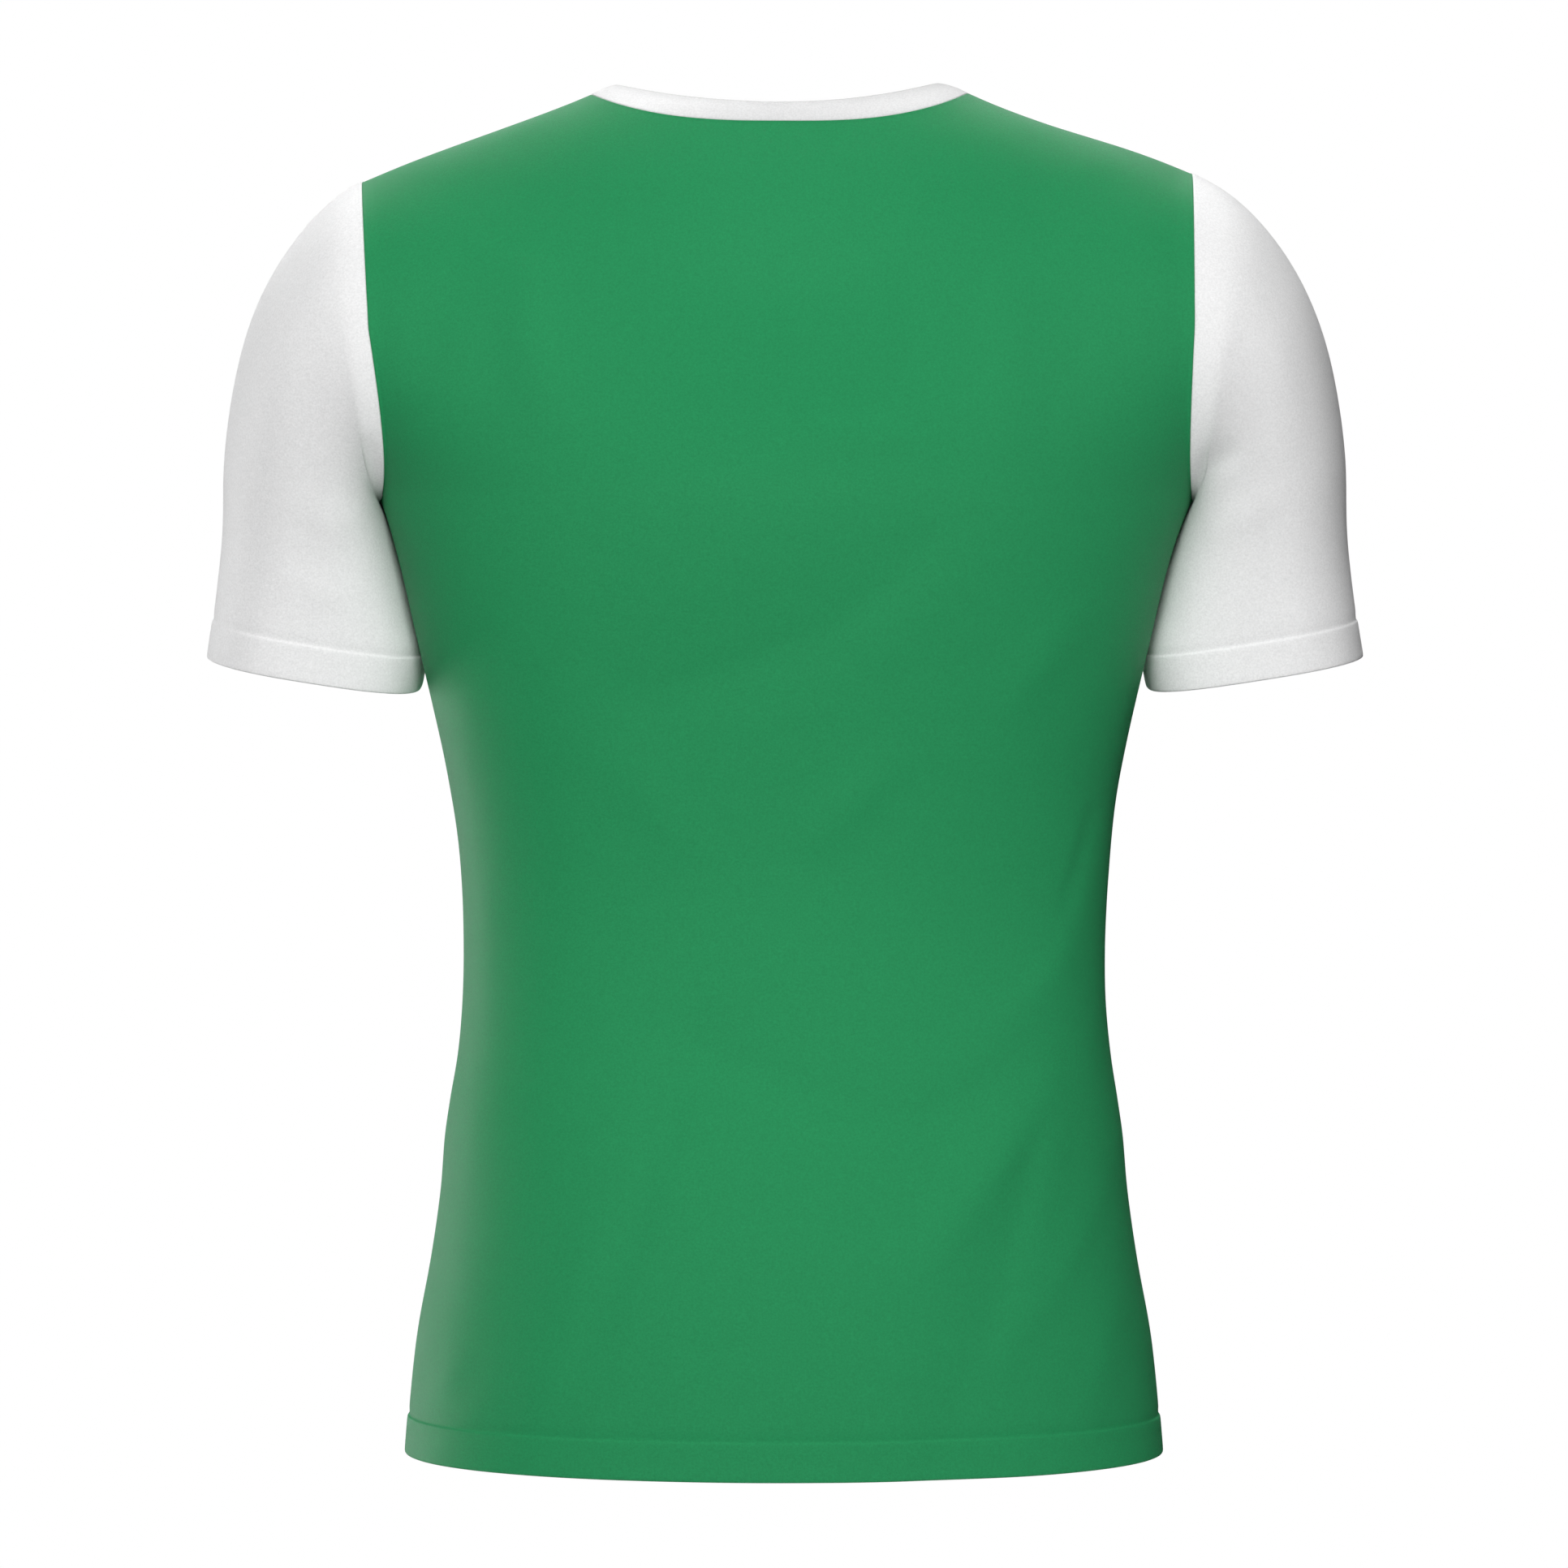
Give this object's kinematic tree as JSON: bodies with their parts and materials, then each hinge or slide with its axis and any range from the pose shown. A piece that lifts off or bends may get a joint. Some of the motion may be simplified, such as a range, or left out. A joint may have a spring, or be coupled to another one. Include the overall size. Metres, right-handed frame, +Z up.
{
  "type": "compression shirt",
  "caption": "Close-fitting short-sleeved crew-neck shirt in its worn form, hollow and open at neck, hem and cuffs, with a contrasting body, sleeves and neckband.",
  "frame": {"origin": "middle of the shoulder line, level with the points where the neck seam crosses the two shoulders", "axes": "+Z up, +Y towards the wearer's back, +X towards the wearer's left"},
  "size_m": [0.603, 0.2321, 0.7093],
  "materials": {
    "green_knit": "matt fine polyester and elastane jersey with a faint sheen",
    "white_knit": "matt fine polyester and elastane jersey with a faint sheen"
  },
  "bodies": {
    "root": {"back_panel": "green_knit", "front_panel": "green_knit", "sleeve_left": "white_knit", "sleeve_right": "white_knit", "neckband": "white_knit"}
  },
  "joints": []
}
